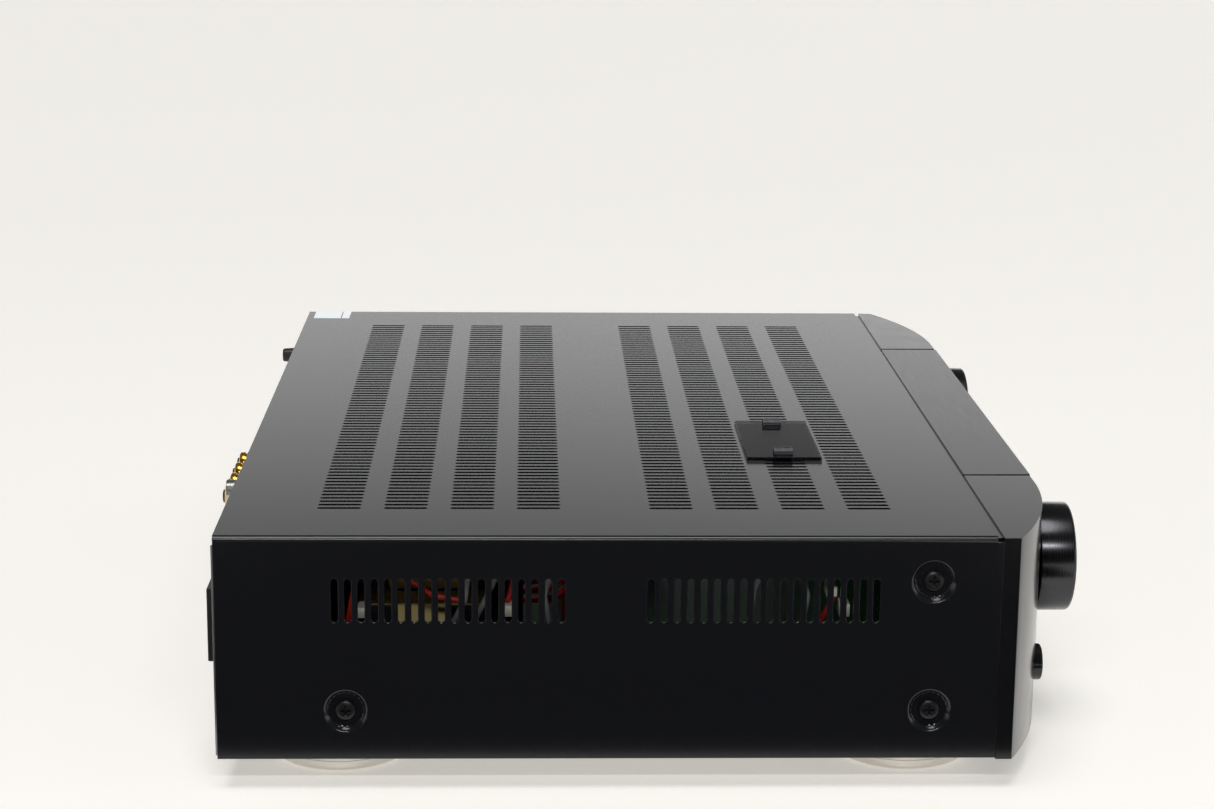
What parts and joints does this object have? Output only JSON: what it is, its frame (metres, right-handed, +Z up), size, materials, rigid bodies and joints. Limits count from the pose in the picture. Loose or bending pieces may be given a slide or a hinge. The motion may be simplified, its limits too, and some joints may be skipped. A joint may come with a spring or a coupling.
{
  "type": "stereo receiver",
  "caption": "Low, wide stereo receiver with a slotted black cover, bowed front panel, two large knobs, round metal feet and a row of screw terminals behind.",
  "frame": {"origin": "bottom centre of the whole object, on the surface it stands on", "axes": "+X to the right seen from the front, -Y out of the front panel, +Z up"},
  "size_m": [0.44, 0.355, 0.1042],
  "materials": {
    "case_paint": "satin black powder coat",
    "zinc_steel": "zinc plated sheet",
    "panel_moulding": "satin black moulding",
    "panel_aluminium": "black anodised, brushed",
    "knob_aluminium": "black anodised, turned",
    "button_black": "polished",
    "window_acrylic": "smoked",
    "shaft_steel": "turned",
    "control_zinc": "plated",
    "board_green": "solder mask",
    "foot_aluminium": "turned satin",
    "pad_rubber": "matt",
    "screw_black": "black zinc",
    "post_gold": "gold plated",
    "post_black": "moulded",
    "jack_nickel": "nickel plated",
    "rear_plastic": "moulded",
    "tuner_tin": "tinned",
    "core_steel": "varnished laminations",
    "winding_tape": "wrapped tape",
    "sink_aluminium": "extruded",
    "epoxy_black": "moulded",
    "capacitor_sleeve": "shrink sleeve",
    "lead_red": "insulated",
    "clip_film": "smoked",
    "clip_steel": "sprung",
    "label_paper": "blank sticker"
  },
  "bodies": {
    "chassis": {"top_cover": "case_paint", "base_pan": "zinc_steel", "front_chassis": "zinc_steel", "rear_panel": "case_paint", "fascia_left_end": "panel_moulding", "fascia_right_end": "panel_moulding", "fascia_center": "panel_aluminium", "display_window": "window_acrylic", "display_board": "board_green", "selector_switch": "control_zinc", "volume_control": "control_zinc", "control_board": "board_green", "power_switch": "epoxy_black", "headphone_jack": "rear_plastic", "foot_front_left": "foot_aluminium", "foot_front_right": "foot_aluminium", "foot_rear_left": "foot_aluminium", "foot_rear_right": "foot_aluminium", "foot_pads": "pad_rubber", "foot_screws": "screw_black", "side_cover_screws": "screw_black", "rear_panel_screws": "screw_black", "post_base": "rear_plastic", "post_studs": "post_gold", "ground_stud": "jack_nickel", "jack_plate": "rear_plastic", "phono_jacks": "jack_nickel", "tuner_module": "tuner_tin", "mains_inlet": "rear_plastic", "transformer_core": "core_steel", "transformer_winding": "winding_tape", "heatsink": "sink_aluminium", "output_transistors": "epoxy_black", "main_board": "board_green", "reservoir_capacitors": "capacitor_sleeve", "transformer_leads": "lead_red", "clip_plate": "clip_film", "spring_clips": "clip_steel", "corner_label": "label_paper"},
    "selector": {"selector_knob": "knob_aluminium", "selector_shaft": "shaft_steel"},
    "volume": {"volume_knob": "knob_aluminium", "volume_shaft": "shaft_steel"},
    "bass": {"bass_knob": "knob_aluminium"},
    "treble": {"treble_knob": "knob_aluminium"},
    "balance": {"balance_knob": "knob_aluminium"},
    "power": {"power_button": "button_black"},
    "speaker_button": {"speaker_button": "button_black"},
    "tone_button": {"tone_button": "button_black"},
    "display_button": {"display_button": "button_black"},
    "post_plug_1": {"post_plug_1": "post_black"},
    "post_cap_1": {"post_cap_1": "post_gold"},
    "post_plug_2": {"post_plug_2": "post_black"},
    "post_cap_2": {"post_cap_2": "post_gold"},
    "post_plug_3": {"post_plug_3": "post_black"},
    "post_cap_3": {"post_cap_3": "post_gold"},
    "post_plug_4": {"post_plug_4": "post_black"},
    "post_cap_4": {"post_cap_4": "post_gold"},
    "ground_washer": {"ground_washer": "jack_nickel"},
    "ground_knob": {"ground_knob": "post_black"}
  },
  "joints": [
    {"name": "selector_turn", "type": "hinge", "parent": "chassis", "child": "selector", "pos_m": [-0.13, -0.17, 0.0662], "axis": [0, 1, 0], "continuous": true},
    {"name": "volume_turn", "type": "hinge", "parent": "chassis", "child": "volume", "pos_m": [0.13, -0.17, 0.0662], "axis": [0, 1, 0], "range_deg": [-150, 150]},
    {"name": "bass_turn", "type": "hinge", "parent": "chassis", "child": "bass", "pos_m": [-0.055, -0.168, 0.034], "axis": [0, 1, 0], "range_deg": [-140, 140]},
    {"name": "treble_turn", "type": "hinge", "parent": "chassis", "child": "treble", "pos_m": [-0.015, -0.168, 0.034], "axis": [0, 1, 0], "range_deg": [-140, 140]},
    {"name": "balance_turn", "type": "hinge", "parent": "chassis", "child": "balance", "pos_m": [0.025, -0.168, 0.034], "axis": [0, 1, 0], "range_deg": [-140, 140]},
    {"name": "power_push", "type": "slide", "parent": "chassis", "child": "power", "axis": [0, 1, 0], "range_m": [0, 0.0025], "stiffness_N_per_m": 800, "springref_m": -0.001},
    {"name": "speaker_push", "type": "slide", "parent": "chassis", "child": "speaker_button", "axis": [0, 1, 0], "range_m": [0, 0.0015], "stiffness_N_per_m": 700, "springref_m": -0.0008},
    {"name": "tone_push", "type": "slide", "parent": "chassis", "child": "tone_button", "axis": [0, 1, 0], "range_m": [0, 0.0015], "stiffness_N_per_m": 700, "springref_m": -0.0008},
    {"name": "display_push", "type": "slide", "parent": "chassis", "child": "display_button", "axis": [0, 1, 0], "range_m": [0, 0.0015], "stiffness_N_per_m": 700, "springref_m": -0.0008},
    {"name": "post_1_travel", "type": "slide", "parent": "chassis", "child": "post_plug_1", "axis": [0, 1, 0], "range_m": [0, 0.003]},
    {"name": "post_1_turn", "type": "hinge", "parent": "post_plug_1", "child": "post_cap_1", "pos_m": [-0.0504, 0.17, 0.0697], "axis": [0, 1, 0], "range_deg": [0, 1080]},
    {"name": "post_2_travel", "type": "slide", "parent": "chassis", "child": "post_plug_2", "axis": [0, 1, 0], "range_m": [0, 0.003]},
    {"name": "post_2_turn", "type": "hinge", "parent": "post_plug_2", "child": "post_cap_2", "pos_m": [-0.0316, 0.17, 0.0697], "axis": [0, 1, 0], "range_deg": [0, 1080]},
    {"name": "post_3_travel", "type": "slide", "parent": "chassis", "child": "post_plug_3", "axis": [0, 1, 0], "range_m": [0, 0.003]},
    {"name": "post_3_turn", "type": "hinge", "parent": "post_plug_3", "child": "post_cap_3", "pos_m": [-0.0128, 0.17, 0.0697], "axis": [0, 1, 0], "range_deg": [0, 1080]},
    {"name": "post_4_travel", "type": "slide", "parent": "chassis", "child": "post_plug_4", "axis": [0, 1, 0], "range_m": [0, 0.003]},
    {"name": "post_4_turn", "type": "hinge", "parent": "post_plug_4", "child": "post_cap_4", "pos_m": [0.006, 0.17, 0.0697], "axis": [0, 1, 0], "range_deg": [0, 1080]},
    {"name": "ground_travel", "type": "slide", "parent": "chassis", "child": "ground_washer", "axis": [0, 1, 0], "range_m": [0, 0.0028]},
    {"name": "ground_turn", "type": "hinge", "parent": "ground_washer", "child": "ground_knob", "pos_m": [0.17, 0.168, 0.0862], "axis": [0, 1, 0], "range_deg": [0, 1440]}
  ],
  "couplings": [
    {"joint": "post_1_turn", "follows": "post_1_travel", "rad_per_m": 6283.2},
    {"joint": "post_2_turn", "follows": "post_2_travel", "rad_per_m": 6283.2},
    {"joint": "post_3_turn", "follows": "post_3_travel", "rad_per_m": 6283.2},
    {"joint": "post_4_turn", "follows": "post_4_travel", "rad_per_m": 6283.2},
    {"joint": "ground_turn", "follows": "ground_travel", "rad_per_m": 8976}
  ]
}
